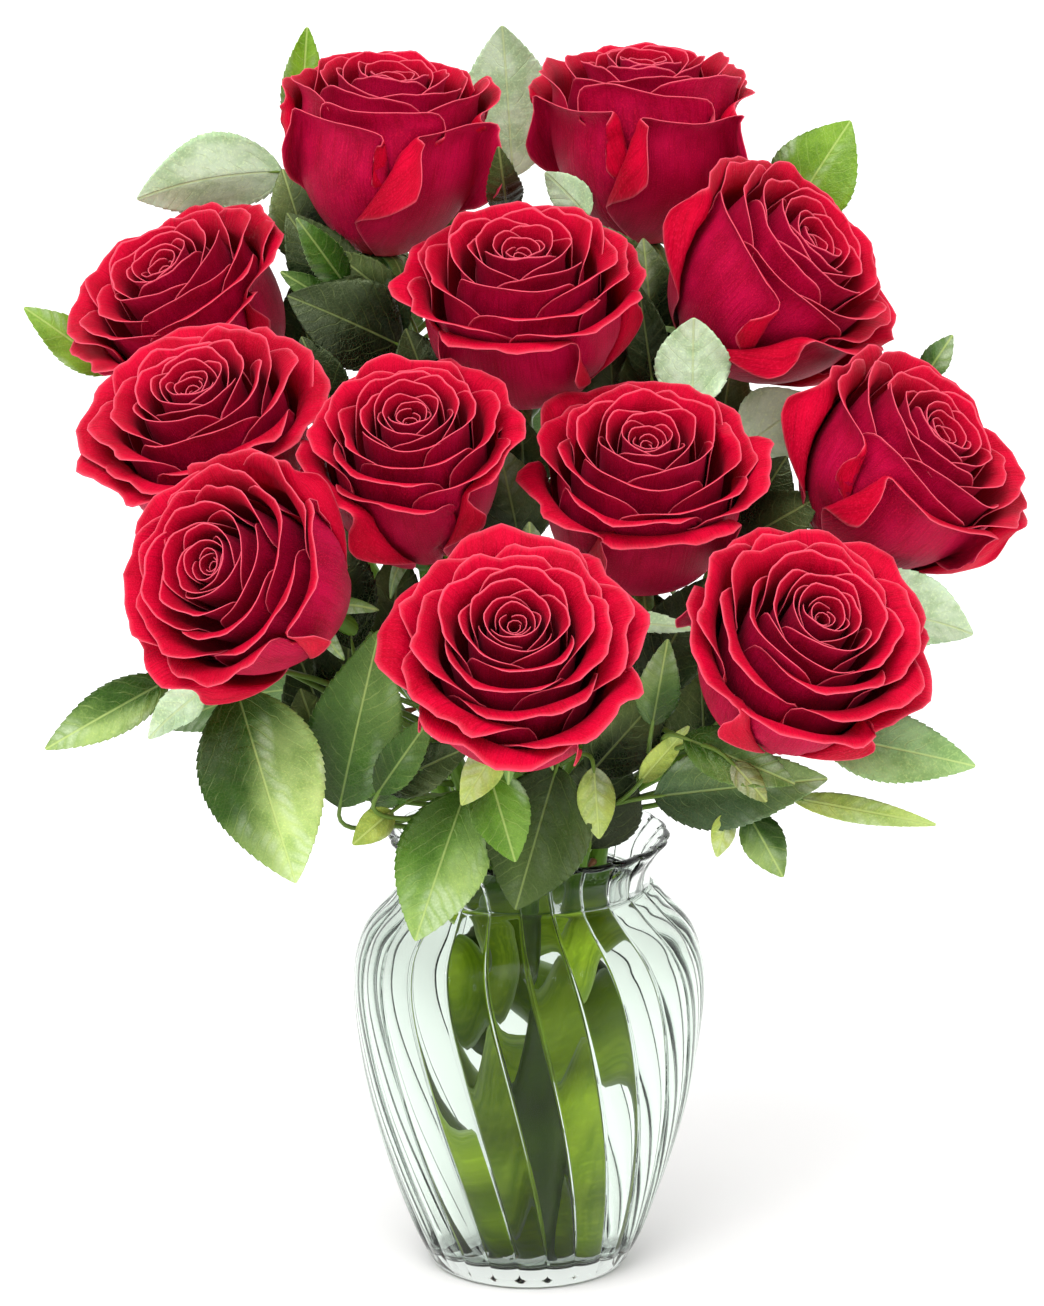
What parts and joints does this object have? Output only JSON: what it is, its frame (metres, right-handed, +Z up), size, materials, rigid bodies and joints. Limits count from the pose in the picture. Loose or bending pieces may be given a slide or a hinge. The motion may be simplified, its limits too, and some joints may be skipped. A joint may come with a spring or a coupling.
{
  "type": "vase of roses",
  "caption": "Bouquet of red roses with serrated leaves, standing in water in a clear bulbous glass vase with swirled ribs and a flared rim.",
  "frame": {"origin": "centre of the vase's flat underside, on the surface it stands on", "axes": "+Z up along the vase's axis, -Y towards the front of the arrangement, +X to the right seen from the front"},
  "size_m": [0.369, 0.2794, 0.4542],
  "materials": {
    "glass": "gloss",
    "water": "gloss",
    "petal": "matte",
    "leaf": "satin"
  },
  "bodies": {
    "root": {"vase": "glass", "water": "water", "rose_01_bloom": "petal", "rose_02_bloom": "petal", "rose_03_bloom": "petal", "rose_04_bloom": "petal", "rose_05_bloom": "petal", "rose_06_bloom": "petal", "rose_07_bloom": "petal", "rose_08_bloom": "petal", "rose_09_bloom": "petal", "rose_10_bloom": "petal", "rose_11_bloom": "petal", "rose_12_bloom": "petal", "rose_01_stem": "leaf", "rose_02_stem": "leaf", "rose_03_stem": "leaf", "rose_04_stem": "leaf", "rose_05_stem": "leaf", "rose_06_stem": "leaf", "rose_07_stem": "leaf", "rose_08_stem": "leaf", "rose_09_stem": "leaf", "rose_10_stem": "leaf", "rose_11_stem": "leaf", "rose_12_stem": "leaf"}
  },
  "joints": []
}
